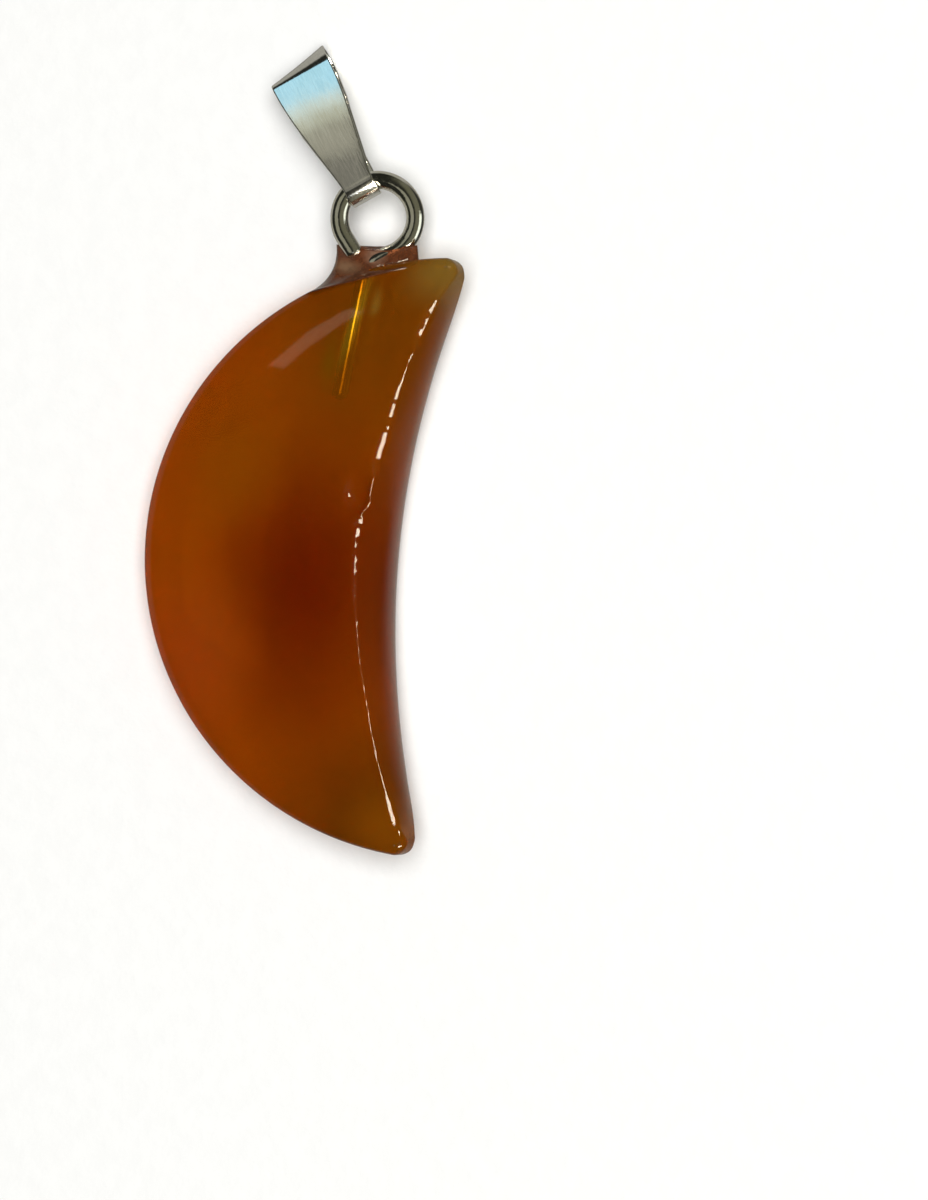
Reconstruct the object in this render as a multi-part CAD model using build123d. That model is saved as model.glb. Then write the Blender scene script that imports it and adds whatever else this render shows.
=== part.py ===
from build123d import *
import math
import os

# A moon pendant lying on its back: a polished stone crescent, domed on both faces, with a wire
# eye glued into a drilled hole and a folded ribbon bail threaded through the eye.
# Millimetres. Z is up, Y runs from horn to horn, and the hollow side faces +X.

# Stone
stone_reach = 16.35         # middle of the full oval to the outermost point of the rim
stone_half_length = 15.25   # middle of the full oval to its end
stone_thickness = 6.1       # face to face at the middle of the full oval
rim_height = 1.0            # upright band left round the rim before the ridges are rounded
hollow_offset = 3.4         # middle of the full oval to the deepest point of the inner wall
hollow_radius = 36.3        # curve of the inner wall from horn to horn
horn_radius = 0.75          # rounding of each horn, seen from the front
ridge_radius = 0.5          # rounding between the faces and the walls
stone_density = 0.0026      # grams in a cubic millimetre

# Hole and wire eye
mouth_offset = 5.5          # middle of the full oval to the mouth of the hole, along X
hole_depth = 7.0
glue_film = 0.06            # glue round the peg, left open between the two pieces
wire_diameter = 0.93
peg_diameter = 0.84         # the wire's end is thinned where it enters the stone
peg_length = 6.6            # below the mouth of the hole
eye_diameter = 4.82         # over the outside of the eye
eye_stand_off = 0.03        # glue between the eye and the rim
eye_lean = 5.6              # degrees, from Y towards the hollow side
eye_turn = 15.0             # degrees, about the peg
metal_density = 0.0083      # grams in a cubic millimetre

# Glue collar, through round-ended sections from its top down to its root under the rim.
# Drop below the mouth of the hole and half depth are shares of the wire's diameter, shift
# across and half width are shares of the eye's outer radius, and tilt is in degrees.
collar_sections = (
    # drop, half depth, shift, half width, tilt
    (-1.42, 0.72, 0.09, 0.87, 9.0),
    (-0.31, 1.10, 0.12, 0.96, 20.0),
    (0.62, 1.55, -0.06, 1.25, 23.0),
)
fit_gap = 0.04              # between the collar and what it holds

# Ribbon bail: a strip folded through the eye, up, over and back down behind its own tongue
sheet = 0.2
fold_width = 1.62
fold_side_gap = 0.12        # between the wire and the leaves
fold_seat_gap = 0.03        # between the wire and the bottom of the fold
bail_width = 3.3            # over the arch
front_height = 6.7          # middle of the fold to where the front leaf starts to bend
hip_height = 1.9            # middle of the fold to where the front leaf has its hip width
hip_width = 2.2
shoulder_height = 4.7       # the same for the shoulder width of both leaves
shoulder_width = 3.05
arch_rise = 0.75            # height of the arch over the front leaf
arch_depth = 2.05           # front leaf to back leaf at the foot of the arch
back_end = 0.95             # of the back leaf, over the middle of the fold
back_end_width = 1.8
back_bend = 3.9             # where the back leaf leaves the tongue
arch_slant = 0.27           # how much further up the right end of the arch lies, over its width
back_bend_radius = 1.2
lap_gap = 0.04              # between the back leaf and the tongue
tongue_length = 3.3
tongue_width = 1.9
bail_seat = 39.0            # degrees round the eye, from the peg's line towards the outer rim
floor_gap = 0.01            # under the arch where it meets the floor
settle_steps = 12           # rounds of working out how the stone lies
drop_steps = 16             # rounds of working out how the bail lies
steepest_slope = 60.0       # degrees, at which that work starts


def make_outline(growth=0.0):
    """The crescent seen from the front, with its horns rounded."""
    reach = stone_reach + growth
    half_length = stone_half_length + growth
    hollow = Pos(hollow_radius - hollow_offset, 0) * Circle(hollow_radius - growth)
    cut = Ellipse(reach, half_length) - hollow
    inner_arc = cut.edges().filter_by(GeomType.CIRCLE)[0]
    horn = inner_arc.vertices().sort_by(Axis.Y)[-1]
    turn = math.degrees(math.atan2(horn.Y / half_length, horn.X / reach))
    outer_arc = EllipticalCenterArc((0, 0), reach, half_length, turn, arc_size=360 - 2 * turn)
    crescent = make_face([outer_arc, inner_arc])
    return fillet(crescent.vertices(), horn_radius + growth)


def dome_half_sizes():
    """Half sizes of the flattened oval dome that both faces of the stone belong to."""
    share = math.sqrt(1 - (rim_height / stone_thickness) ** 2)
    return Vector(stone_reach / share, stone_half_length / share, stone_thickness / 2)


def make_dome(growth=0.0):
    """The dome, grown by a gap where something has to clear it."""
    half = dome_half_sizes()
    return scale(Sphere(1.0), by=(half.X + growth, half.Y + growth, half.Z + growth))


def make_blank(growth=0.0):
    """The crescent with sharp ridges and no hole."""
    block = extrude(make_outline(growth), amount=stone_thickness, both=True)
    return make_dome(growth) & block


wire_radius = wire_diameter / 2
eye_radius = (eye_diameter - wire_diameter) / 2
mouth_y = stone_half_length * math.sqrt(1 - (mouth_offset / stone_reach) ** 2)
lean = math.radians(eye_lean)
rim_slope = mouth_offset / mouth_y * (stone_half_length / stone_reach) ** 2
mouth_drop = (eye_diameter / 2 + eye_stand_off) / math.cos(lean + math.atan(rim_slope))
eye_centre = (-mouth_offset + mouth_drop * math.sin(lean), mouth_y + mouth_drop * math.cos(lean), 0)
eye_place = Location(eye_centre) * Location((0, 0, 0), (0, 0, -eye_lean))
eye_place = eye_place * Location((0, 0, 0), (0, eye_turn, 0))


def along_peg(radius, start, end):
    """A round bar on the peg's line, between two distances below the middle of the eye."""
    foot = Plane(origin=(0, -end, 0), x_dir=(1, 0, 0), z_dir=(0, 1, 0))
    return extrude(foot * Circle(radius), amount=end - start)


def make_stone():
    """The crescent with its ridges rounded and the hole for the peg drilled from the rim."""
    blank = make_blank()
    ridges = blank.edges().filter_by(Axis.Z, reverse=True)
    rounded = fillet(ridges, ridge_radius)
    drill = along_peg(peg_diameter / 2 + glue_film, eye_radius, mouth_drop + hole_depth)
    return rounded - eye_place * drill


def make_eye():
    """One wire, bent to a ring and soldered to a straight peg."""
    peg = along_peg(peg_diameter / 2, eye_radius, mouth_drop + peg_length)
    return eye_place * (Torus(eye_radius, wire_radius) + peg)


def collar_section(drop, half_depth, shift, half_width, tilt):
    """One round-ended section of the collar, tilted towards the rim it stands on."""
    eye_reach = eye_diameter / 2
    slope = math.radians(tilt)
    level = Plane(
        origin=(shift * eye_reach, -mouth_drop - drop * wire_diameter, 0),
        x_dir=(math.cos(slope), math.sin(slope), 0),
        z_dir=(-math.sin(slope), math.cos(slope), 0),
    )
    return level * SlotOverall(2 * half_width * eye_reach, 2 * half_depth * wire_diameter)


def make_collar():
    """Clear glue, drawn up the foot of the eye and spread over the rim round the hole."""
    mound = loft([collar_section(*row) for row in collar_sections])
    wire_room = Torus(eye_radius, wire_radius + fit_gap)
    peg_room = along_peg(peg_diameter / 2 + glue_film, eye_radius, mouth_drop + peg_length)
    collar = eye_place * (mound - wire_room - peg_room)
    return collar - make_blank(fit_gap)


fold_inner = wire_radius + fold_side_gap
fold_middle = fold_inner + sheet / 2
fold_outer = fold_inner + sheet
eye_inside = eye_radius - wire_radius
wire_bow = eye_inside - math.sqrt(eye_inside ** 2 - (fold_width / 2) ** 2)
fold_from_eye = eye_inside - wire_bow - fold_seat_gap + fold_inner
back_level = -fold_inner + lap_gap + sheet / 2
arch_foot_level = fold_middle - arch_depth


def bend_band(path, slant=0.0):
    """The strip's side view, from a path of height and depth, spread to both sides along X."""
    side_view = Plane.YZ * trace(path, sheet)
    return extrude(side_view, amount=bail_width, dir=(1, slant, 0), both=True)


def leaf_block(outline, low, high):
    """An upright block over an outline of height and half width pairs, between two depths."""
    right = [(half, height) for height, half in outline]
    left = [(-half, height) for height, half in reversed(outline)]
    edge = Polyline(*right, *left, close=True)
    return Pos(0, 0, low) * extrude(make_face(edge), amount=high - low)


def make_bail():
    """The strip from the tip of its tongue, round the fold, up, over the arch and back down."""
    crest_height = front_height + arch_rise
    foot = (front_height, arch_foot_level)
    bend = (back_bend, back_level)
    fold_foot = (0, -fold_middle)
    front_foot = (0, fold_middle)
    front_top = (front_height, fold_middle)
    tongue = Line((tongue_length, -fold_middle), fold_foot)
    fold = CenterArc((0, 0), fold_middle, -90, -180)
    front = Line(front_foot, front_top)
    lower_band = bend_band([tongue, fold, front])

    fall = Vector(bend[0] - foot[0], bend[1] - foot[1])
    crest = (crest_height, fold_middle - arch_depth / 2)
    lead = Line((back_bend, fold_middle), front_top)
    arch = Spline(front_top, crest, foot, tangents=[(1, 0), fall.normalized()])
    back = FilletPolyline(foot, bend, (back_end, back_level), radius=back_bend_radius)
    upper_band = bend_band([lead, arch, back], arch_slant)

    over = crest_height + bail_width
    under = -bail_width
    deep = arch_depth + bail_width
    upper_outline = [(shoulder_height, shoulder_width / 2), (front_height, bail_width / 2)]
    upper_outline += [(over, bail_width / 2)]
    front_outline = [(under, fold_width / 2), (0, fold_width / 2), (hip_height, hip_width / 2)]
    front_outline += upper_outline
    back_outline = [(back_end, back_end_width / 2)] + upper_outline
    tip_start = tongue_length - tongue_width / 2
    tongue_outline = [(under, fold_width / 2), (0, fold_width / 2), (fold_outer, tongue_width / 2)]
    tongue_outline += [(tip_start, tongue_width / 2)]
    front_block = leaf_block(front_outline, 0, deep)
    back_block = leaf_block(back_outline, -deep, 0)
    tip = Pos(0, tip_start, -deep) * extrude(Circle(tongue_width / 2), amount=deep)
    tongue_block = leaf_block(tongue_outline, -deep, 0) + tip
    lower = lower_band & (front_block + tongue_block)
    upper = upper_band & (front_block + back_block)
    return lower + upper


def find_floor(pieces):
    """The floor under the stone, in the stone's own frame, where its dome balances."""
    weight = sum(piece.volume * density for piece, density in pieces)
    balance = Vector(0, 0, 0)
    for piece, density in pieces:
        balance += piece.center(CenterOf.MASS) * (piece.volume * density / weight)
    down = Vector(0, 0, -1)
    half = dome_half_sizes()
    for _ in range(settle_steps):
        reach = Vector(half.X * down.X, half.Y * down.Y, half.Z * down.Z).length
        tip_x = balance.X * reach / (half.X ** 2 - half.Z ** 2)
        tip_y = balance.Y * reach / (half.Y ** 2 - half.Z ** 2)
        down = Vector(tip_x, tip_y, -math.sqrt(1 - tip_x ** 2 - tip_y ** 2))
    touch = Vector(half.X ** 2 * down.X, half.Y ** 2 * down.Y, half.Z ** 2 * down.Z) / reach
    across = Vector(0, 1, 0).cross(-down)
    return Plane(origin=touch, x_dir=across, z_dir=-down)


def lay_bail(bail, to_floor):
    """The bail on the eye, dropped until the back of its arch meets the floor."""
    seat = eye_place * Location((0, 0, 0), (0, 0, bail_seat)) * Location((0, fold_from_eye, 0))
    level, steep = -steepest_slope, steepest_slope
    for _ in range(drop_steps):
        slope = (level + steep) / 2
        laid = to_floor * seat * Location((0, 0, 0), (-slope, 0, 0)) * bail
        if laid.bounding_box().min.Z > floor_gap:
            level = slope
        else:
            steep = slope
    return laid


stone = make_stone()
eye = make_eye()
collar = make_collar()
to_floor = find_floor([(stone, stone_density), (eye, metal_density)]).location.inverse()
pieces = {
    "moon_stone": to_floor * stone,
    "wire_eye": to_floor * eye,
    "glue_collar": to_floor * collar,
    "ribbon_bail": lay_bail(make_bail(), to_floor),
}
boxes = [piece.bounding_box() for piece in pieces.values()]
left = min(box.min.X for box in boxes)
right = max(box.max.X for box in boxes)
front = min(box.min.Y for box in boxes)
rear = max(box.max.Y for box in boxes)
bottom = min(box.min.Z for box in boxes)
to_origin = Pos(-(left + right) / 2, -(front + rear) / 2, -bottom)
os.makedirs("parts", exist_ok=True)
for name, piece in pieces.items():
    placed = to_origin * piece
    export_step(placed.solid(), f"parts/{name}.step")
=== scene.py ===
import bmesh
import bpy
import math
import numpy as np
from mathutils import Matrix, Vector


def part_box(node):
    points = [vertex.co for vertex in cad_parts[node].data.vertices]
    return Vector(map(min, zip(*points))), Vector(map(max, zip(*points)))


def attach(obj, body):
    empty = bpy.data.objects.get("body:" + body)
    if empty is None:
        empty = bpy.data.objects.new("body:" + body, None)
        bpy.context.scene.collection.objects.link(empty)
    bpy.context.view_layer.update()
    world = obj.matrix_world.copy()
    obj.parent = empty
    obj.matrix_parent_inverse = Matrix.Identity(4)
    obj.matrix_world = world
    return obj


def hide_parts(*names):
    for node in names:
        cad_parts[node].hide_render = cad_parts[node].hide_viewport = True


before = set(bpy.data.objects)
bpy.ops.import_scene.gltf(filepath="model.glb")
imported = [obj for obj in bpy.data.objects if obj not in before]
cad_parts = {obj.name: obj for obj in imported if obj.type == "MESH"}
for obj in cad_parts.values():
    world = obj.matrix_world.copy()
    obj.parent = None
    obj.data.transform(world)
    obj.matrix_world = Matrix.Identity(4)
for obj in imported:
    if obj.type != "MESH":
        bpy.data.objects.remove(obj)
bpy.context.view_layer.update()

# The moon stone
# One piece of dyed red-brown agate, sawn to a crescent, ground to a dome on both faces and
# tumbled to a gloss. A hole is drilled into its upper rim for the eye's peg.
mm = 0.001
weld = 0.0005                # points nearer than this, in mm, become one
stone_reach = 16.35          # middle of the full oval to the outer rim
stone_half_length = 15.25    # middle of the full oval to its end
stone_thickness = 6.1        # face to face at the middle of the full oval
rim_height = 1.0             # upright band left round the rim
hollow_offset = 3.4          # middle of the full oval to the deepest point of the inner wall
hollow_radius = 36.3         # curve of the inner wall from horn to horn
horn_radius = 0.75           # rounding of each horn, seen from the front
ridge_radius = 0.5           # rounding between the faces and the walls
inner_wall = (
    # along the stone, inset of the inner wall at its upper ridge, rounding there, bulge half-way up
    (-14.6, 0.00, 0.50, 0.00),
    (-13.9, 0.00, 0.14, 0.05),
    (-13.5, 0.00, 0.40, 0.10),
    (-12.6, -0.03, 0.40, 0.23),
    (-12.0, -0.05, 0.14, 0.30),
    (-7.5, -0.10, 0.14, 0.45),
    (-5.0, 0.05, 0.16, 0.45),
    (-3.0, 0.13, 0.16, 0.45),
    (-2.3, 0.17, 0.40, 0.45),
    (-1.0, 0.25, 0.50, 0.45),
    (1.0, 0.36, 0.55, 0.45),
    (1.55, 0.30, 0.75, 0.45),
    (1.75, 0.26, 0.08, 0.45),
    (2.0, 0.15, 0.08, 0.45),
    (2.15, 0.08, 0.35, 0.45),
    (2.5, -0.04, 0.35, 0.45),
    (2.75, -0.06, 0.08, 0.45),
    (3.7, -0.13, 0.08, 0.45),
    (4.0, -0.15, 0.30, 0.45),
    (4.7, -0.18, 0.60, 0.45),
    (6.0, -0.25, 0.55, 0.45),
    (6.4, -0.25, 0.16, 0.45),
    (6.8, -0.24, 0.45, 0.45),
    (8.2, -0.18, 0.40, 0.43),
    (9.0, -0.15, 0.12, 0.40),
    (10.4, -0.11, 0.12, 0.35),
    (10.9, -0.10, 0.55, 0.32),
    (12.3, -0.05, 0.50, 0.20),
    (12.9, -0.02, 0.20, 0.12),
    (14.6, 0.00, 0.50, 0.00),
)
wall_ripples = (
    # depth, pace and start of two faint waves along the upper ridge
    (0.012, 4.1, 0),
    (0.010, 9.7, 1),
)
lower_rounding = 0.3         # of the inner wall's lower ridge
lower_inset = 0.18
stone_roll = 5.66            # degrees, outer rim down, as the dome balances on the floor
stone_pitch = 0.36           # degrees, upper horn down
snug = 0.998                 # of the stone's size, left inside its box
dent_at = (-3.9, 3.0)        # a polished-over chip on the inner ridge, deepest at its lower end
dent_reach = (0.6, 1.1)
dent_depth = 0.5
dent_middle = 0.6            # share of that depth in its middle
dent_slant = 0.5             # share that it loses from there to its upper end
side_steps = 201
horn_steps = 21
wall_steps = 13
wall_ease = 4                # how late the wall turns towards the ridge
ridge_steps = 9
dome_steps = 27
dome_crowding = 1.4          # how much closer the dome's rings lie beside the ridge
dome_ease = 6                # how soon the ridge has run out into the dome
halvings = 40

share = math.sqrt(1 - (rim_height / stone_thickness) ** 2)
dome_half = (stone_reach / share, stone_half_length / share, stone_thickness / 2)
hollow_middle = np.array([hollow_radius - hollow_offset, 0.0])


def unit(vectors):
    """Vectors in the last axis, each scaled to length one."""
    return vectors / np.linalg.norm(vectors, axis=-1, keepdims=True)


def oval_points(angles):
    """Points on the oval rim."""
    return np.stack([stone_reach * np.cos(angles), stone_half_length * np.sin(angles)], axis=-1)


def oval_normals(angles):
    """Directions out of the oval rim."""
    return unit(np.stack([np.cos(angles) / stone_reach, np.sin(angles) / stone_half_length], axis=-1))


def dome_height(places):
    """Height of the domed face over places in the stone's middle plane."""
    left = 1 - (places[..., 0] / dome_half[0]) ** 2 - (places[..., 1] / dome_half[1]) ** 2
    return dome_half[2] * np.sqrt(np.maximum(left, 0))


def arc(middle, radius, start, turn, steps):
    """Points inside an arc, without its two ends."""
    angles = start + turn * np.linspace(0, 1, steps + 2)[1:-1]
    return middle + radius * np.stack([np.cos(angles), np.sin(angles)], axis=-1)


def find_horn():
    """Where on the oval the upper horn's rounding just meets the inner wall, and its middle."""
    low, high = math.pi / 2, math.pi
    for _ in range(halvings):
        horn = (low + high) / 2
        horn_middle = oval_points(np.array(horn)) - horn_radius * oval_normals(np.array(horn))
        if np.linalg.norm(horn_middle - hollow_middle) < hollow_radius + horn_radius:
            low = horn
        else:
            high = horn
    return horn, horn_middle


def crescent_lines():
    """The rim, the spine across from each of its points, and each point's share of inner wall."""
    horn, horn_middle = find_horn()
    outer = oval_points(np.linspace(horn, 2 * math.pi - horn, side_steps))
    to_horn = unit(horn_middle - hollow_middle)
    swing = math.atan2(to_horn[1], -to_horn[0])
    sweep = np.linspace(-swing, swing, side_steps)
    inner = hollow_middle + hollow_radius * np.stack([-np.cos(sweep), np.sin(sweep)], axis=-1)
    mirror = np.array([1, -1])
    out_angle = math.atan2(*oval_normals(np.array(horn))[::-1])
    in_angle = math.atan2(*(-to_horn)[::-1])
    turn = out_angle - in_angle
    upper_horn = arc(horn_middle, horn_radius, in_angle, turn, horn_steps)
    lower_horn = arc(horn_middle * mirror, horn_radius, -out_angle, turn, horn_steps)
    rim = np.concatenate([outer, lower_horn, inner, upper_horn])
    middles = (outer + inner[::-1]) / 2
    lower_end = np.repeat(middles[-1:], horn_steps, axis=0)
    upper_end = np.repeat(middles[:1], horn_steps, axis=0)
    spine = np.concatenate([middles, lower_end, middles[::-1], upper_end])
    ramp = np.linspace(0, 1, horn_steps)
    wall_share = np.concatenate([np.zeros(side_steps), ramp, np.ones(side_steps), ramp[::-1]])
    return rim, spine, wall_share


def stone_rings():
    """Rings round the stone, from the spine of its lower face over the rim to that of its upper."""
    rim, spine, wall_share = crescent_lines()
    depth = np.linalg.norm(spine - rim, axis=1)
    inward = (spine - rim) / depth[:, None]
    along, insets, radii, bulges = np.transpose(inner_wall)
    ripple = sum(deep * np.sin(pace * rim[:, 1] + start) for deep, pace, start in wall_ripples)
    lean = wall_share * (np.interp(rim[:, 1], along, insets) + ripple)
    rounding = ridge_radius + wall_share * (np.interp(rim[:, 1], along, radii) - ridge_radius)
    bulge = wall_share * np.interp(rim[:, 1], along, bulges)
    middle = bulge / bulge.max()
    below = ridge_radius + middle * (lower_rounding - ridge_radius)

    def face(inset):
        """Height of the face at distances in from the rim."""
        return dome_height(rim + inward * inset[..., None])

    def half_skin(lean, rounding):
        """Rings from half-way up the rim over the ridge to the spine of the face."""
        edge = np.stack([lean, face(lean)], axis=-1)
        nudge = ridge_radius * weld
        down_wall = unit(np.stack([-2 * (lean + bulge) / edge[:, 1], -np.ones(len(rim))], axis=-1))
        slope = (face(lean + nudge) - face(lean)) / nudge
        over_face = unit(np.stack([np.ones(len(rim)), slope], axis=-1))
        corner = np.arccos(np.sum(down_wall * over_face, axis=1))
        reach = rounding / np.tan(corner / 2)
        between = unit(down_wall + over_face)
        pivot = edge + between * (rounding / np.sin(corner / 2))[:, None]
        wall_end = edge + down_wall * reach[:, None]
        face_start = edge + over_face * reach[:, None]
        rows = []
        for step in np.linspace(0, 1, wall_steps):
            height = wall_end[:, 1] * step
            curve = (lean + bulge) * (height / edge[:, 1]) ** 2 - bulge
            gap = wall_end[:, 0] - (lean + bulge) * (wall_end[:, 1] / edge[:, 1]) ** 2 + bulge
            rows.append(np.stack([curve + gap * step ** wall_ease, height], axis=-1))
        bend = (math.pi - corner)[:, None]
        for step in np.linspace(0, 1, ridge_steps)[1:-1]:
            from_wall = np.sin((1 - step) * bend) * (wall_end - pivot)
            from_face = np.sin(step * bend) * (face_start - pivot)
            rows.append(pivot + (from_wall + from_face) / np.sin(bend))
        for step in np.linspace(0, 1, dome_steps) ** dome_crowding:
            inset = face_start[:, 0] + (depth - face_start[:, 0]) * step
            gap = face_start[:, 1] - face(face_start[:, 0])
            rows.append(np.stack([inset, face(inset) + gap * (1 - step) ** dome_ease], axis=-1))
        profile = np.array(rows)
        flat = rim + inward * profile[..., :1]
        return np.concatenate([flat, profile[..., 1:]], axis=-1)

    upper = half_skin(lean, rounding)
    lower = half_skin(lower_inset * middle, below)[:0:-1] * np.array([1, 1, -1])
    flat = upper[..., :2]
    far = np.sum(((flat - dent_at) / dent_reach) ** 2, axis=-1)
    up_dent = (flat[..., 1] - dent_at[1])
    scoop = np.clip(dent_middle - dent_slant * up_dent / dent_reach[1], 0, 1)
    upper[..., 2] -= dent_depth * scoop * np.exp(-far ** 2) * np.minimum(upper[..., 2], 1)
    return np.concatenate([lower, upper])


def skin(name, rings, place):
    """A closed smooth skin over a stack of rings of points in mm, put at its place."""
    count, around, _ = rings.shape
    grid = np.arange(count * around).reshape(count, around)
    after = np.roll(grid, -1, axis=1)
    quads = np.stack([grid[:-1], after[:-1], after[1:], grid[1:]], axis=-1).reshape(-1, 4)
    mesh = bpy.data.meshes.new(name)
    mesh.from_pydata(rings.reshape(-1, 3).tolist(), [], quads.tolist())
    work = bmesh.new()
    work.from_mesh(mesh)
    bmesh.ops.remove_doubles(work, verts=work.verts, dist=weld)
    bmesh.ops.recalc_face_normals(work, faces=work.faces)
    work.to_mesh(mesh)
    work.free()
    mesh.transform(place @ Matrix.Scale(mm, 4))
    mesh.shade_smooth()
    piece = bpy.data.objects.new(name, mesh)
    bpy.context.scene.collection.objects.link(piece)
    return piece


def turned(degrees, axis):
    """A turn about one axis."""
    return Matrix.Rotation(math.radians(degrees), 4, axis)


def moved(x, y, z):
    """A move given in mm."""
    return Matrix.Translation(Vector((x, y, z)) * mm)


stone_turn = turned(-stone_pitch, "X") @ turned(-stone_roll, "Y")
stone = skin("agate_moon", stone_rings() * snug, stone_turn)
box_low, box_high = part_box("moon_stone")
corners = np.array([vertex.co for vertex in stone.data.vertices])
stone_middle = (box_low + box_high) / 2 - Vector((corners.min(0) + corners.max(0)) / 2)
stone.data.transform(Matrix.Translation(stone_middle))
stone_place = Matrix.Translation(stone_middle) @ stone_turn

wire_diameter = 0.93
peg_diameter = 0.84
eye_diameter = 4.82          # over the outside of the eye
eye_lean = 5.6               # degrees, from the stone's length towards its hollow side
eye_turn = 15.0              # degrees, about the peg
eye_stand_off = 0.03         # glue between the eye and the rim
mouth_offset = 5.5           # middle of the full oval to the mouth of the hole
hole_depth = 6.6
hole_start = 1               # how far over its mouth the drill starts
press = 0.015                # glue leaves no air between peg and stone, so their skins meet
around_hole = 48
hole_steps = 30
eye_radius = (eye_diameter - wire_diameter) / 2
mouth_y = stone_half_length * math.sqrt(1 - (mouth_offset / stone_reach) ** 2)
lean = math.radians(eye_lean)
rim_slope = mouth_offset / mouth_y * (stone_half_length / stone_reach) ** 2
mouth_drop = (eye_diameter / 2 + eye_stand_off) / math.cos(lean + math.atan(rim_slope))
eye_x = -mouth_offset + mouth_drop * math.sin(lean)
eye_y = mouth_y + mouth_drop * math.cos(lean)
eye_place = stone_place @ moved(eye_x, eye_y, 0)
eye_place = eye_place @ turned(-eye_lean, "Z") @ turned(eye_turn, "Y")


def drill_rings():
    """Rings round the drilled hole, filled by the peg, from over its mouth to its flat end."""
    angles = np.linspace(0, 2 * math.pi, around_hole, endpoint=False)
    levels = np.linspace(-mouth_drop + hole_start, -mouth_drop - hole_depth, hole_steps)
    levels = np.concatenate([levels[:1], levels, levels[-1:]])[:, None]
    radii = np.full(levels.shape, peg_diameter / 2 - press)
    radii[[0, -1]] = 0
    x, z = radii * np.cos(angles), radii * np.sin(angles)
    return np.stack([x, np.broadcast_to(levels, x.shape), z], axis=-1)


drill = skin("drill", drill_rings(), eye_place)
cut = stone.modifiers.new("hole", "BOOLEAN")
cut.operation = "DIFFERENCE"
cut.object = drill
bpy.context.view_layer.objects.active = stone
bpy.ops.object.modifier_apply(modifier=cut.name)
bpy.data.objects.remove(drill)


def new_material(name, **values):
    """A Principled material with some of its own sockets set."""
    material = bpy.data.materials.new(name)
    material.use_nodes = True
    shader = material.node_tree.nodes["Principled BSDF"]
    for socket, value in values.items():
        shader.inputs[socket.replace("_", " ")].default_value = value
    return material, material.node_tree, shader


def add(tree, kind, *values, out=0, **settings):
    """One node with its settings and inputs, each a value, another node's output or None."""
    node = tree.nodes.new("ShaderNode" + kind)
    for setting, value in settings.items():
        setattr(node, setting, value)
    for socket, value in zip(node.inputs, values):
        if isinstance(value, bpy.types.NodeSocket):
            tree.links.new(value, socket)
        elif value is not None:
            socket.default_value = value
    return node.outputs[out]


def spot_in(tree, place):
    """Where a point of the surface lies in a piece's own frame, in mm."""
    back = place.inverted()
    spot = add(tree, "TexCoord", out="Object")
    return add(tree, "Mapping", spot, back.translation / mm, back.to_euler(), (1 / mm,) * 3)


def blend(tree, share, first, second):
    """One colour laid over another by a share."""
    link = bpy.types.NodeSocket
    colors = [color if isinstance(color, link) else (*color, 1) for color in (first, second)]
    not_colors = [None] * 5
    return add(tree, "Mix", share, *not_colors, *colors, out=2, data_type="RGBA")


def times(tree, color, factor):
    """A colour made lighter or darker by a factor."""
    return add(tree, "VectorMath", color, factor, operation="MULTIPLY")


def fade(tree, value, start, end, top=1.0, floor=0.0):
    """A smooth step from floor, where a value is at its start, to top at its end."""
    return add(tree, "MapRange", value, start, end, floor, top, interpolation_type="SMOOTHSTEP")


def oval_share(tree, spot, middle, reach):
    """One in the middle of an oval, down to nothing at its edge."""
    off = add(tree, "VectorMath", spot, (*middle, 0), operation="SUBTRACT")
    off = times(tree, off, (1 / reach[0], 1 / reach[1], 0))
    far = add(tree, "VectorMath", off, out="Value", operation="LENGTH")
    return fade(tree, far, 1, 0)


def noise(tree, spot, scale, detail, stretch=(1, 1, 1)):
    """Soft noise between about 0.3 and 0.7."""
    return add(tree, "TexNoise", times(tree, spot, stretch), None, scale, detail)


def mottle(tree, spot, scale, detail, start, end, top=1.0, floor=0.0, stretch=(1, 1, 1)):
    """Soft noise, cut at its start and end and spread from floor to top."""
    return fade(tree, noise(tree, spot, scale, detail, stretch), start, end, top, floor)


def raise_skin(tree, shader, height, drop):
    """Fine relief on a surface, as deep as drop in mm."""
    bump = tree.nodes.new("ShaderNodeBump")
    bump.inputs["Distance"].default_value = drop * mm
    tree.links.new(height, bump.inputs["Height"])
    tree.links.new(bump.outputs["Normal"], shader.inputs["Normal"])


rim_orange = (0.50, 0.116, 0.0003)
agate_tints_and_glow = (
    # middle across and along, reach across and along, colour
    ((-6.3, -2.0), (9.2, 13.5), (0.255, 0.024, 0.0002)),
    ((-4.0, 13.0), (11.5, 12.5), (0.295, 0.086, 0.001)),
    ((-12.8, -6.0), (4.8, 6.0), (0.500, 0.100, 0.006)),
    ((-11.5, 4.5), (5.0, 5.5), (0.410, 0.107, 0.0005)),
    ((-2.0, -14.0), (8.5, 8.0), (0.210, 0.056, 0.001)),
    ((-1.5, -14.0), (3.8, 3.6), (0.370, 0.115, 0.002)),
    ((-1.0, 14.6), (2.8, 2.8), (0.380, 0.225, 0.033)),
    ((-6.3, 9.4), (0.8, 1.9), (0.30, 0.120, 0.001)),
    # painted light: the paler glow beside the top of the streak along the drilled hole
    ((-4.2, 12.8), (0.5, 1.1), (0.38, 0.200, 0.020)),
    ((-6.7, 1.2), (0.2, 0.08), (0.34, 0.060, 0.020)),
    ((-5.47, -9.93), (0.07, 0.07), (0.40, 0.140, 0.030)),
    ((-5.75, -13.38), (0.1, 0.06), (0.45, 0.180, 0.050)),
)
zone_drift = (1.6, 1.6, 1.6)  # how far the edges of the zones wander
drift_scale = 0.25
drift_detail = 2.0
noise_middle = (0.5, 0.5, 0.5)
glow_at = (-5.3, 11.6)       # painted highlight: where the light caught along the drilled hole comes up
glow_turn = 11.0
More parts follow.
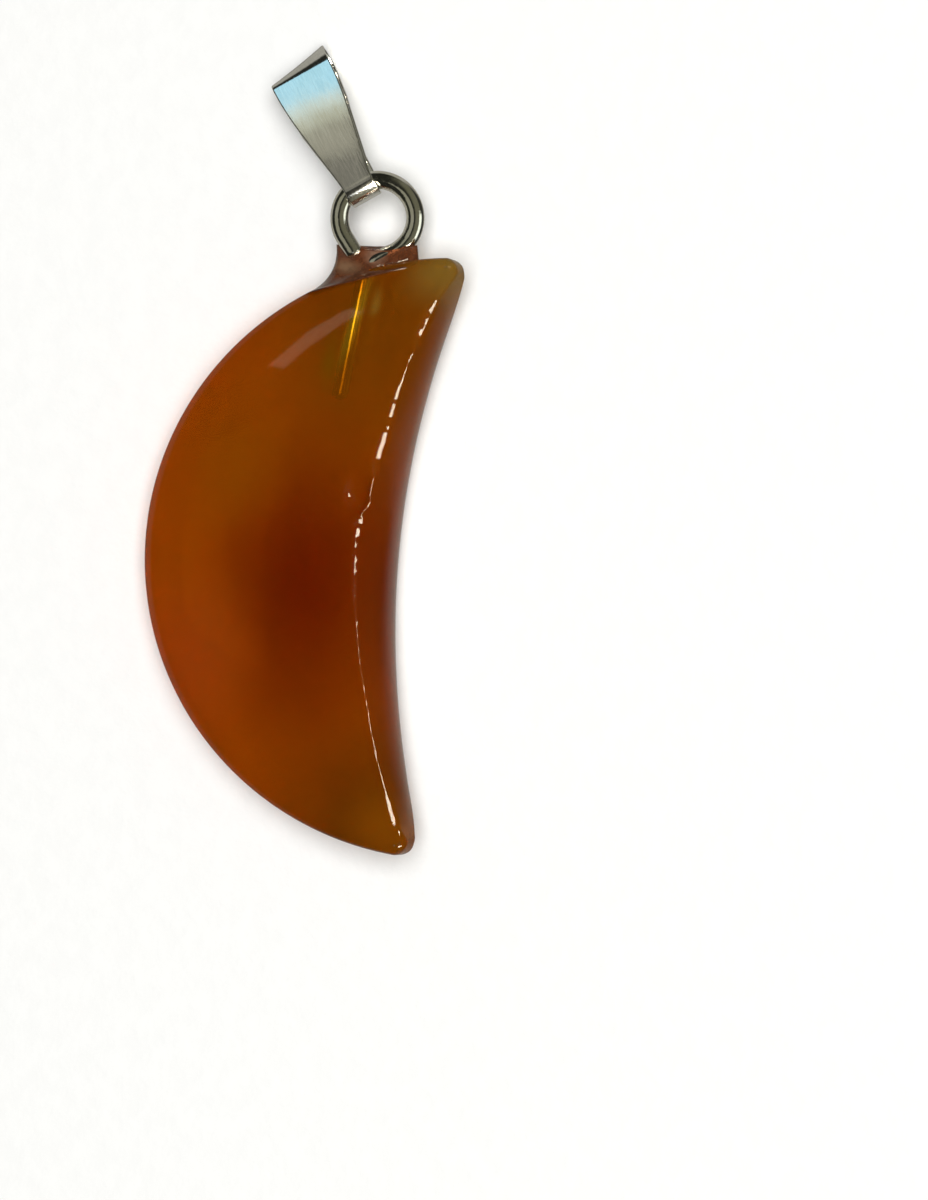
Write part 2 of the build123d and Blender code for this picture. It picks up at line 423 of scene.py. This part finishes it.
glow_reach = (0.5, 3.6)
painted_streak_highlight = (0.42, 0.22, 0.008)
agate_clouds = dict(
    scale=0.45, detail=4.0, start=0.35, end=0.65, top=1.04, floor=0.96, stretch=(1, 0.5, 1)
)
agate_grain = dict(scale=3.0, detail=3.0, start=0.3, end=0.7, top=1.03, floor=0.97)
agate_handling = dict(scale=1.5, detail=4.0, start=0.3, end=0.7, top=0.07, floor=0.04)
agate_swell = dict(scale=0.7, detail=1.0)
agate_relief = 0.006
glass_yellow = (0.5, 0.5, 0.0, 1)
glass_density = 150          # to a metre
agate, tree, shader = new_material(
    "polished_agate",
    Roughness=0.05,
    IOR=1.3,
    Transmission_Weight=0.65,
)
spot = spot_in(tree, stone_place)
drift = add(tree, "TexNoise", spot, None, drift_scale, drift_detail, out="Color")
drift = add(tree, "VectorMath", drift, noise_middle, operation="SUBTRACT")
drift = times(tree, drift, zone_drift)
moved_spot = add(tree, "VectorMath", spot, drift, operation="ADD")
color = rim_orange
for middle, reach, tint in agate_tints_and_glow:
    color = blend(tree, oval_share(tree, moved_spot, middle, reach), color, tint)
to_glow = (-glow_at[0], -glow_at[1], 0)
glow_lean = (0, 0, math.radians(glow_turn))
beside = add(tree, "Mapping", spot, to_glow, vector_type="POINT")
beside = add(tree, "Mapping", beside, (0, 0, 0), glow_lean, vector_type="POINT")
# A painted highlight: the light caught along the drilled hole, laid into the stone's colour
color = blend(tree, oval_share(tree, beside, (0, 0), glow_reach), color, painted_streak_highlight)
clouds = mottle(tree, spot, **agate_clouds)
grain = mottle(tree, spot, **agate_grain)
clouds = add(tree, "Math", clouds, grain, operation="MULTIPLY")
tree.links.new(times(tree, color, clouds), shader.inputs["Base Color"])
tree.links.new(mottle(tree, spot, **agate_handling), shader.inputs["Roughness"])
raise_skin(tree, shader, noise(tree, spot, **agate_swell), agate_relief)
glass = tree.nodes.new("ShaderNodeVolumeAbsorption")
glass.inputs["Color"].default_value = glass_yellow
glass.inputs["Density"].default_value = glass_density
tree.links.new(glass.outputs[0], tree.nodes["Material Output"].inputs["Volume"])
stone.data.materials.append(agate)
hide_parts("moon_stone")
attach(stone, "root")

# The wire eye
# One length of plated wire, bent to a round eye whose end closes beside its straight peg.
# The peg is thinned and glued into the hole in the stone.
peg_length = 6.6             # below the mouth of the hole
neck = 0.3                   # from the mouth down to where the wire starts to thicken
ring_from = -62              # degrees round the eye, from its right side
ring_to = 222
tail_length = 0.85           # straight end of the wire, past the ring
neck_pull = (0, 0.6)         # of the curve from the peg into the ring
ring_pull = 0.5
bead = 0.6                   # length of the rounded ends, as a share of the wire's radius
around_wire = 32
ring_steps = 140
peg_steps = 20
neck_steps = 16
swell_steps = 8              # rings over which the wire thickens
tail_steps = 8
bead_steps = 8


def wire_rings(path, radii):
    """Round rings along a path that lies in the eye's plane."""
    ahead = unit(np.gradient(path, axis=0))
    aside = np.stack([-ahead[:, 1], ahead[:, 0]], axis=-1)
    angles = np.linspace(0, 2 * math.pi, around_wire, endpoint=False)
    flat = path[:, None] + radii[:, None, None] * np.cos(angles)[None, :, None] * aside[:, None]
    height = radii[:, None] * np.sin(angles)[None, :]
    return np.concatenate([flat, height[..., None]], axis=-1)


def bezier(start, start_pull, end_pull, end, steps):
    """Points on a curve that leaves and arrives along its two pulls."""
    t = np.linspace(0, 1, steps)[:, None]
    points = [np.array(p) for p in (start, start_pull, end_pull, end)]
    weights = [(1 - t) ** 3, 3 * t * (1 - t) ** 2, 3 * t ** 2 * (1 - t), t ** 3]
    return sum(weight * point for weight, point in zip(weights, points))


def round_the_ends(path, radii):
    """The path with a few short steps added at each end, over which the wire rounds to a point."""
    steps = np.sin(np.linspace(0, math.pi / 2, bead_steps))[1:]
    drops = np.sqrt(1 - steps ** 2)
    first = unit(path[0] - path[1])
    last = unit(path[-1] - path[-2])
    start = path[0] + first * bead * radii[0] * steps[::-1, None]
    end = path[-1] + last * bead * radii[-1] * steps[:, None]
    new_path = np.concatenate([start, path, end])
    new_radii = np.concatenate([radii[0] * drops[::-1], radii, radii[-1] * drops])
    return new_path, new_radii


ring_angles = np.linspace(math.radians(ring_from), math.radians(ring_to), ring_steps)
ring = eye_radius * np.stack([np.cos(ring_angles), np.sin(ring_angles)], axis=-1)
ring_ways = np.stack([-np.sin(ring_angles), np.cos(ring_angles)], axis=-1)
peg_foot = np.array([0, -mouth_drop - peg_length])
peg_top = np.array([0, -mouth_drop - neck])
shank = np.linspace(peg_foot, peg_top, peg_steps)
shoulder = bezier(peg_top, peg_top + neck_pull, ring[0] - ring_pull * ring_ways[0], ring[0], neck_steps)
tail = ring[-1] + np.linspace(0, tail_length, tail_steps)[1:, None] * ring_ways[-1]
path = np.concatenate([shank, shoulder[1:], ring[1:], tail])
radii = np.full(len(path), wire_diameter / 2)
radii[:peg_steps] = peg_diameter / 2
swell = np.linspace(peg_diameter / 2, wire_diameter / 2, swell_steps)
radii[peg_steps:peg_steps + swell_steps] = swell
eye = skin("wire_loop", wire_rings(*round_the_ends(path, radii)), eye_place)

wire_dull = (0.72, 0.71, 0.62)
wire_bright = (0.80, 0.79, 0.74)
wire_plating = dict(scale=1.3, detail=3.0, start=0.3, end=0.7)
wire_rubbing = dict(scale=5.0, detail=3.0, start=0.3, end=0.7, top=0.17, floor=0.1)
wire_ripple = dict(scale=2.4, detail=2.0)
wire_relief = 0.012
peg_lighter_in_stone = dict(start=-2.4, end=-3.2, top=1.2, floor=1.0)     # lighter where the peg lies in the stone; start and end down the eye, in mm
peg_darker_to_foot = dict(start=-5.2, end=-8.2, top=0.28, floor=1.0)  # darker towards its foot
wire_metal, tree, shader = new_material("plated_wire", Metallic=1.0)
spot = spot_in(tree, eye_place)
color = blend(tree, mottle(tree, spot, **wire_plating), wire_dull, wire_bright)
depth = add(tree, "SeparateXYZ", spot, out="Y")
color = times(tree, color, fade(tree, depth, **peg_lighter_in_stone))
color = times(tree, color, fade(tree, depth, **peg_darker_to_foot))
tree.links.new(color, shader.inputs["Base Color"])
tree.links.new(mottle(tree, spot, **wire_rubbing), shader.inputs["Roughness"])
raise_skin(tree, shader, noise(tree, spot, **wire_ripple), wire_relief)
eye.data.materials.append(wire_metal)
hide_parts("wire_eye")
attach(eye, "root")

# The glue collar
# A bead of clear two-part resin. It was pushed out of the hole with the peg, crept up the foot
# of the eye and set in a skirt over the rim of the stone.
collar_sections = (
    # drop and half depth in wire diameters, shift and half width in eye radii, tilt in degrees
    (-1.42, 0.40, 0.09, 0.87, 9.0),
    (-0.31, 0.68, 0.12, 0.96, 20.0),
    (0.62, 1.55, -0.06, 1.25, 23.0),
)
collar_creep = 0.35          # how far the resin climbs at both sides of the eye
collar_bank = 0.13           # rise of the resin towards the right end of the eye
collar_squareness = 3        # how soon a section turns round at its ends
collar_steps = 40
around_collar = 96


def collar_rings():
    """Round-ended rings from the top of the collar down to its root in the rim."""
    order = range(len(collar_sections))
    at = np.linspace(order[0], order[-1], collar_steps)
    drops, depths, shifts, widths, tilts = [
        np.polyval(np.polyfit(order, column, order[-1]), at) for column in zip(*collar_sections)
    ]
    angles = np.linspace(0, 2 * math.pi, around_collar, endpoint=False)
    rings = []
    for drop, depth, shift, width, tilt in zip(drops, depths, shifts, widths, tilts):
        half_width = width * eye_diameter / 2
        half_depth = depth * wire_diameter
        run = half_width - half_depth
        across = half_depth * np.cos(angles) + run * np.clip(collar_squareness * np.cos(angles), -1, 1)
        slope = math.radians(tilt)
        x = shift * eye_diameter / 2 + across * math.cos(slope)
        y = -mouth_drop - drop * wire_diameter + across * math.sin(slope)
        sag = collar_creep * (1 - (across / half_width) ** 2)
        y = y - sag * (drops[-1] - drop) / (drops[-1] - drops[0])
        rings.append(np.stack([x, y, half_depth * np.sin(angles) + collar_bank * across], axis=-1))
    rings = np.array(rings)
    top, foot = [np.broadcast_to(ring.mean(0), rings[:1].shape) for ring in (rings[0], rings[-1])]
    return np.concatenate([top, rings, foot])


collar = skin("resin_collar", collar_rings(), eye_place)
resin_brown = (0.16, 0.050, 0.019)
resin_tints_and_gap_shade = (
    # middle across and down the eye, reach across and down, colour
    ((-1.31, -1.89), (0.8, 0.9), (0.13, 0.060, 0.036)),
    ((-1.10, -2.75), (1.3, 0.6), (0.23, 0.130, 0.070)),
    ((0.30, -1.95), (0.8, 0.7), (0.34, 0.190, 0.120)),
    # painted shade: the dark gap between the wire's shoulder and its end, seen through the resin
    ((0.08, -1.62), (0.45, 0.16), (0.08, 0.022, 0.015)),
)
resin_dust = dict(scale=2.2, detail=3.0, start=0.35, end=0.65, top=1.15, floor=0.85)
resin_smears = dict(scale=1.4, detail=2.0, start=0.35, end=0.65, top=0.16, floor=0.06)
resin_swell = dict(scale=1.1, detail=1.0)
resin_relief = 0.12
resin, tree, shader = new_material(
    "clear_resin",
    Transmission_Weight=0.4,
    IOR=1.45,
)
spot = spot_in(tree, eye_place)
color = resin_brown
for middle, reach, tint in resin_tints_and_gap_shade:
    color = blend(tree, oval_share(tree, spot, middle, reach), color, tint)
color = times(tree, color, mottle(tree, spot, **resin_dust))
tree.links.new(color, shader.inputs["Base Color"])
tree.links.new(mottle(tree, spot, **resin_smears), shader.inputs["Roughness"])
raise_skin(tree, shader, noise(tree, spot, **resin_swell), resin_relief)
collar.data.materials.append(resin)
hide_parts("glue_collar")
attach(collar, "root")

# The ribbon bail
# A tapered strip of thin plated sheet, brushed along its length. It is folded round the eye,
# bent over at the top into an open arch for the chain, and its back end tucks behind the tongue.
sheet = 0.2
fold_width = 1.62
hip_height = 1.9
hip_width = 2.2
shoulder_height = 4.7
shoulder_width = 3.05
fold_side_gap = 0.12         # between the wire and the leaves
fold_seat_gap = 0.03         # between the wire and the bottom of the fold
bail_width = 3.3             # over the arch
front_height = 6.7           # middle of the fold to where the front leaf starts to bend
arch_rise = 0.88
arch_depth = 2.05
arch_slant = 0.27            # how much further up the right end of the arch lies
back_end = 0.95
back_end_width = 1.8
back_bend = 3.9              # where the back leaf leaves the tongue
lap_gap = 0.04
tongue_length = 3.3
tongue_width = 1.9
tongue_neck = 6              # rings over which the tongue narrows to the fold
tip_blunt = 0.98             # where the round of the tongue's tip is cut square
bail_seat = 39.0             # degrees round the eye, from the peg's line
bail_slope = 16.478          # degrees, from the eye's plane down to the floor
front_bow = 0.2              # how far the front leaf bulges
front_lift = (0.45, -0.05)   # pulls of the arch's curve at the front leaf, at its crest and behind
crest_rise = (0, 0.45)
crest_fall = (0, 0.5)
foot_pull = 0.4
bend_lead = (0.5, -0.16)     # from the bend of the back leaf to where it starts
bend_pull = (-0.2, 0)
bend_run = (-0.8, 0)
edge_round = 0.07
tongue_steps = 30
fold_steps = 40
front_steps = 60
arch_steps = 24
bend_steps = 10
back_steps = 16
corner_steps = 5
fold_inner = wire_diameter / 2 + fold_side_gap
fold_middle = fold_inner + sheet / 2
eye_inside = eye_radius - wire_diameter / 2
wire_bow = eye_inside - math.sqrt(eye_inside ** 2 - (fold_width / 2) ** 2)
fold_from_eye = eye_inside - wire_bow - fold_seat_gap + fold_inner
back_level = -fold_inner + lap_gap + sheet / 2
arch_foot = fold_middle - arch_depth
bail_place = eye_place @ turned(bail_seat, "Z") @ moved(0, fold_from_eye, 0)
bail_place = bail_place @ turned(-bail_slope, "X")


def strip_path():
    """Height and depth along the strip's middle, with its half width and slant at each point."""
    fall = unit(np.array([back_bend - front_height, back_level - arch_foot]))
    crest = np.array([front_height + arch_rise, fold_middle - arch_depth / 2])
    foot = np.array([front_height, arch_foot])
    bend = np.array([back_bend, back_level])
    tongue_end = (tongue_length - sheet, -fold_middle)
    tongue = np.linspace(tongue_end, (0, -fold_middle), tongue_steps)
    turn = np.linspace(-math.pi / 2, -3 * math.pi / 2, fold_steps)[1:-1]
    fold = fold_middle * np.stack([np.cos(turn), np.sin(turn)], axis=-1)
    front = np.linspace((0, fold_middle), (front_height, fold_middle), front_steps)
    front[:, 1] += front_bow * np.sin(math.pi * front[:, 0] / front_height)
    rise = bezier(front[-1], front[-1] + front_lift, crest + crest_rise, crest, arch_steps)[1:]
    drop = bezier(crest, crest - crest_fall, foot - foot_pull * fall, foot, arch_steps)[1:]
    run = np.linspace(foot, bend + bend_lead, arch_steps)[1:]
    last = bezier(run[-1], bend, bend + bend_pull, bend + bend_run, bend_steps)[1:]
    back = np.linspace(bend + bend_run, (back_end, back_level), back_steps)[1:]
    parts = [tongue, fold, front, rise, drop, run, last, back]
    path = np.concatenate(parts)
    starts = np.cumsum([0] + [len(part) for part in parts])
    fold_start, front_start, rise_start, drop_start, run_start = starts[1:6]

    heights = [0, hip_height, shoulder_height, front_height]
    half_widths = [fold_width / 2, hip_width / 2, shoulder_width / 2, bail_width / 2]
    side_curve = np.polyfit(heights, half_widths, len(heights) - 1)
    half = np.polyval(side_curve, np.clip(path[:, 0], 0, front_height))
    tip = tongue_length - tongue_width / 2
    over = np.clip((tongue[:, 0] - tip) / (tongue_width / 2), 0, tip_blunt)
    half[:fold_start] = tongue_width / 2 * np.sqrt(1 - over ** 2)
    narrowing = np.linspace(tongue_width / 2, fold_width / 2, tongue_neck)
    half[fold_start - tongue_neck:fold_start] = narrowing
    half[fold_start:front_start] = fold_width / 2
    back_heights = [back_end, shoulder_height, front_height]
    back_widths = [back_end_width / 2, shoulder_width / 2, bail_width / 2]
    half[run_start:] = np.interp(path[run_start:, 0], back_heights, back_widths)
    slant = np.zeros(len(path))
    slant[rise_start:drop_start] = np.linspace(0, arch_slant, drop_start - rise_start)
    slant[drop_start:] = arch_slant
    return path, half, slant


def strip_rings():
    """Rounded sections of the strip at right angles to its path."""
    path, half, slant = strip_path()
    ahead = unit(np.gradient(path, axis=0))
    out = np.stack([-ahead[:, 1], ahead[:, 0]], axis=-1)
    corner = np.linspace(0, math.pi / 2, corner_steps)
    across = []
    through = []
    for quarter in range(4):
        angle = corner + quarter * math.pi / 2
        side = 1 if quarter in (0, 3) else -1
        level = 1 if quarter in (0, 1) else -1
        rounded = np.cos(angle) * edge_round - side * edge_round
        across.append(np.stack([np.full(corner_steps, side), rounded], axis=-1))
        through.append(np.sin(angle) * edge_round + level * (sheet / 2 - edge_round))
    across = np.concatenate(across)
    through = np.concatenate(through)
    x = half[:, None] * across[None, :, 0] + across[None, :, 1]
    y = path[:, 0, None] + out[:, 0, None] * through[None] + slant[:, None] * x
    z = path[:, 1, None] + out[:, 1, None] * through[None]
    rings = np.stack([x, y, z], axis=-1)
    ends = [np.broadcast_to(ring.mean(0), rings[:1].shape) for ring in (rings[0], rings[-1])]
    return np.concatenate([ends[0], rings, ends[1]])


bail = skin("ribbon", strip_rings(), bail_place)
ribbon_dull = (0.76, 0.76, 0.72)
ribbon_bright = (0.82, 0.82, 0.79)
ribbon_dulling = dict(scale=0.6, detail=2.0, start=0.35, end=0.65)
ribbon_brushing = dict(scale=1.0, detail=4.0, stretch=(14, 0.8, 14))
brushed_shade = dict(start=0.3, end=0.7, top=1.05, floor=0.93)
brushed_gloss = dict(start=0.3, end=0.7, top=0.16, floor=0.1)
crease_at = (-0.14, 1.42)    # a small pinch mark low on the front leaf
crease_reach = (0.13, 0.62)
crease_share = 0.6           # of the relief, and the brushing's share of it
brushing_share = 0.5
ribbon_relief = 0.008
ribbon_metal, tree, shader = new_material("brushed_ribbon", Metallic=1.0)
spot = spot_in(tree, bail_place)
brushing = noise(tree, spot, **ribbon_brushing)
color = blend(tree, mottle(tree, spot, **ribbon_dulling), ribbon_dull, ribbon_bright)
color = times(tree, color, fade(tree, brushing, **brushed_shade))
tree.links.new(color, shader.inputs["Base Color"])
tree.links.new(fade(tree, brushing, **brushed_gloss), shader.inputs["Roughness"])
crease = oval_share(tree, spot, crease_at, crease_reach)
crease = add(tree, "Math", crease, crease_share, operation="MULTIPLY")
scratches = add(tree, "Math", brushing, brushing_share, operation="MULTIPLY")
relief = add(tree, "Math", crease, scratches, operation="ADD")
raise_skin(tree, shader, relief, ribbon_relief)
bail.data.materials.append(ribbon_metal)
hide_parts("ribbon_bail")
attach(bail, "root")

# The table top, the lights and the camera
# The pendant lies on a plain pale sheet under one large soft light. A long softbox stands at its
# hollow side, and a cooler window at its head.
table_size = 1.6
paper_warm = (0.885, 0.885, 0.875)
paper_white = (0.9, 0.9, 0.89)
paper_fibres = dict(scale=0.8, detail=5.0, start=0.3, end=0.7)
paper_relief = 0.02
bpy.ops.mesh.primitive_plane_add(size=table_size, location=(0, 0, 0))
floor = bpy.context.object
floor.name = "table_top"
floor.visible_glossy = False
paper, tree, shader = new_material("pale_paper", Roughness=0.9)
spot = spot_in(tree, Matrix())
fibres = mottle(tree, spot, **paper_fibres)
tree.links.new(blend(tree, fibres, paper_warm, paper_white), shader.inputs["Base Color"])
raise_skin(tree, shader, fibres, paper_relief)
floor.data.materials.append(paper)

under_stone = (0.40, 0.385, 0.34)
under_hollow = (0.035, 0.034, 0.03)
dark_room = (0.02, 0.02, 0.016)
olive_room = (0.15, 0.145, 0.1)
hollow_side = (0.68, 0.3)    # how far to the hollow side the colours below and above change
room_side = (0.1, 0.5)
horizon = (-0.05, 0.08)
world = bpy.data.worlds.new("room")
bpy.context.scene.world = world
world.use_nodes = True
tree = world.node_tree
way = add(tree, "TexCoord", out="Generated")
aside = add(tree, "SeparateXYZ", way, out="X")
rise = add(tree, "SeparateXYZ", way, out="Z")
ground = blend(tree, fade(tree, aside, *hollow_side), under_hollow, under_stone)
walls = blend(tree, fade(tree, aside, *room_side), dark_room, olive_room)
sky = blend(tree, fade(tree, rise, *horizon), ground, walls)
tree.links.new(sky, tree.nodes["Background"].inputs["Color"])


def softbox(name, place, size, glow, color, shine=True, matt=True, only=()):
    """A rectangular light that faces the stone, kept off all but some pieces if they are given."""
    azimuth, elevation, distance = place
    width, height = size
    light = bpy.data.lights.new(name, "AREA")
    light.shape = "RECTANGLE"
    light.size = width
    light.size_y = height
    light.energy = glow * math.pi * width * height
    light.color = color
    lamp = bpy.data.objects.new(name, light)
    bpy.context.scene.collection.objects.link(lamp)
    turn = math.radians(azimuth)
    rise = math.radians(elevation)
    level = math.cos(rise)
    way = Vector((math.cos(turn) * level, math.sin(turn) * level, math.sin(rise)))
    lamp.location = way * distance
    lamp.rotation_euler = way.to_track_quat("Z", "Y").to_euler()
    lamp.visible_glossy = shine
    lamp.visible_diffuse = matt
    if only:
        lit = bpy.data.collections.new(name + "_lit")
        for piece in only:
            lit.objects.link(piece)
        lamp.light_linking.receiver_collection = lit
    return lamp


reflections = (
    # name, azimuth, elevation and distance, width and height, glow, colour, pieces lit
    ("side_card", (-5, 5, 0.6), (0.44, 0.36), 1.2, (0.95, 1, 0.9), [eye, bail]),
    ("top_card", (180, 66, 0.6), (0.5, 0.45), 0.28, (1.0, 0.97, 0.75), [eye]),
    ("fold_card", (-53, 59, 0.6), (0.12, 0.12), 1.2, (0.97, 1, 0.98), [eye, bail]),
    ("low_wall", (145, 36.5, 0.6), (0.13, 0.05), 2.4, (1.0, 0.75, 0.6), [stone]),
    ("window_low", (120, 40, 0.6), (0.3, 0.15), 1.1, (0.46, 0.82, 1.0), [bail]),
    ("window_high", (120, 48.8, 0.6), (0.3, 0.037), 0.85, (0.9, 1.0, 0.92), [bail]),
    ("bright_wall", (120, 52.7, 0.6), (0.3, 0.047), 0.56, (1.0, 1.0, 0.78), [bail]),
    ("dim_wall", (120, 59.7, 0.6), (0.3, 0.1), 0.36, (1.0, 0.96, 0.76), [bail]),
    ("far_wall", (120, 74, 0.6), (0.3, 0.19), 0.2, (1.0, 0.95, 0.8), [bail]),
)
softbox("key_softbox", (0, 76, 0.7), (0.5, 0.4), 9.8, (1, 1, 1), shine=False)
side_softbox = softbox(
    "side_softbox", (-18, 38, 0.5), (0.28, 0.36), 42.0, (1, 0.9, 0.74),
    matt=False, only=[stone, collar, bail],
)
side_softbox.visible_transmission = False
for name, place, size, glow, color, pieces in reflections:
    softbox(name, place, size, glow, color, matt=False, only=pieces)

camera_tilt = 14.0           # degrees from straight down, towards the hollow side
camera_roll = 4.95           # degrees, how far the stone's length leans right in the view
camera_distance = 0.24
pixel = 0.0506 * mm          # one pixel of the view at the stone
view_width = 928
view_height = 1200
stone_across = 444.3         # where the middle of the full oval lies in the view
stone_down = 558.5
tilt = math.radians(camera_tilt)
roll = math.radians(camera_roll)
level = Vector((math.cos(tilt), 0, -math.sin(tilt)))
along = Vector((0, 1, 0))
right = level * math.cos(roll) + along * math.sin(roll)
up = along * math.cos(roll) - level * math.sin(roll)
toward = right.cross(up)
target = stone_middle + right * (view_width / 2 - stone_across) * pixel
target = target + up * (stone_down - view_height / 2) * pixel
camera = bpy.data.objects.new("camera", bpy.data.cameras.new("camera"))
bpy.context.scene.collection.objects.link(camera)
camera.data.lens = camera.data.sensor_width * camera_distance / (view_height * pixel)
facing = Matrix((right, up, toward)).transposed().to_4x4()
camera.matrix_world = Matrix.Translation(target + toward * camera_distance) @ facing
bpy.context.scene.camera = camera
bpy.context.scene.view_settings.view_transform = "Standard"
